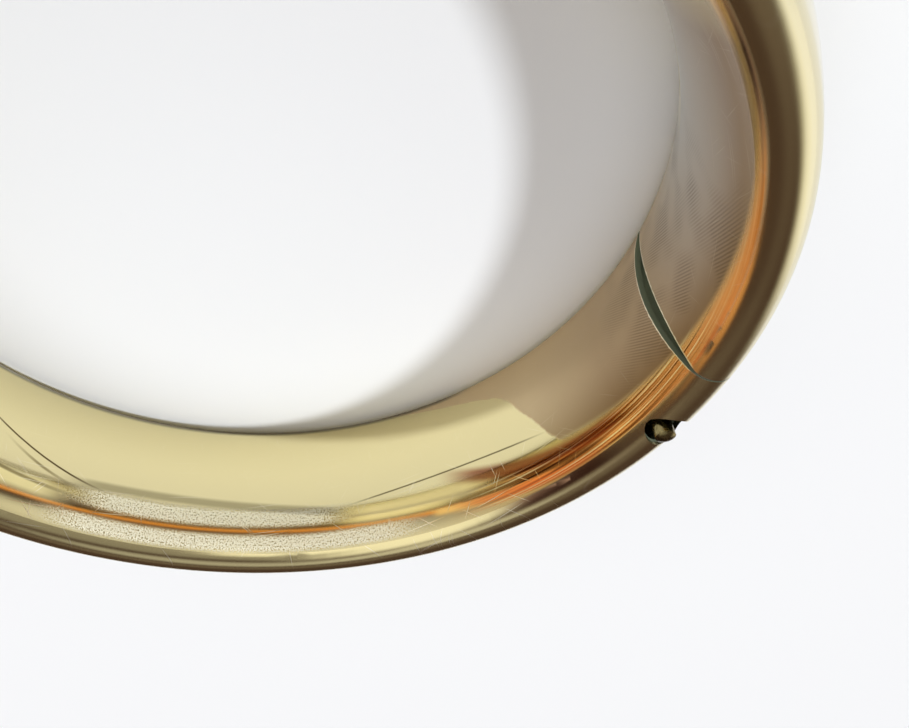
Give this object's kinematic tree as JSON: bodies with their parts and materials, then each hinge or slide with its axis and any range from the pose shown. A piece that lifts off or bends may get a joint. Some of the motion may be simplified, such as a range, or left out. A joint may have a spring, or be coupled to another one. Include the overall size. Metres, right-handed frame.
{
  "type": "hinged bangle",
  "caption": "Round hollow hinged bangle with a smooth rounded band, a tongue and box clasp and a small push button in its side edge.",
  "frame": {"origin": "middle of the ring: on its axis, at the middle of the band's width", "axes": "+Z along the ring's axis towards the side with the push button, +X through the clasp joint, -X through the hinge, -Y through the half with the button"},
  "size_m": [0.07, 0.07, 0.016],
  "materials": {
    "band_gold_box": "polished gold, hairline scratches",
    "band_gold_tongue": "polished gold, hairline scratches",
    "spring_brass": "satin",
    "button_gold": "polished gold",
    "pin_gold": "satin gold"
  },
  "bodies": {
    "box_side": {"box_half": "band_gold_box", "hinge_pin": "pin_gold"},
    "tongue_side": {"tongue_half": "band_gold_tongue", "tongue": "spring_brass"},
    "button": {"push_button": "button_gold"}
  },
  "joints": [
    {"name": "band_hinge", "type": "hinge", "parent": "box_side", "child": "tongue_side", "pos_m": [-0.03357, 0, 0], "axis": [0, 0, 1], "range_deg": [0, 50]},
    {"name": "button_press", "type": "slide", "parent": "box_side", "child": "button", "axis": [0, 0, -1], "range_m": [0, 0.0008], "stiffness_N_per_m": 800, "springref_m": -0.0004}
  ]
}
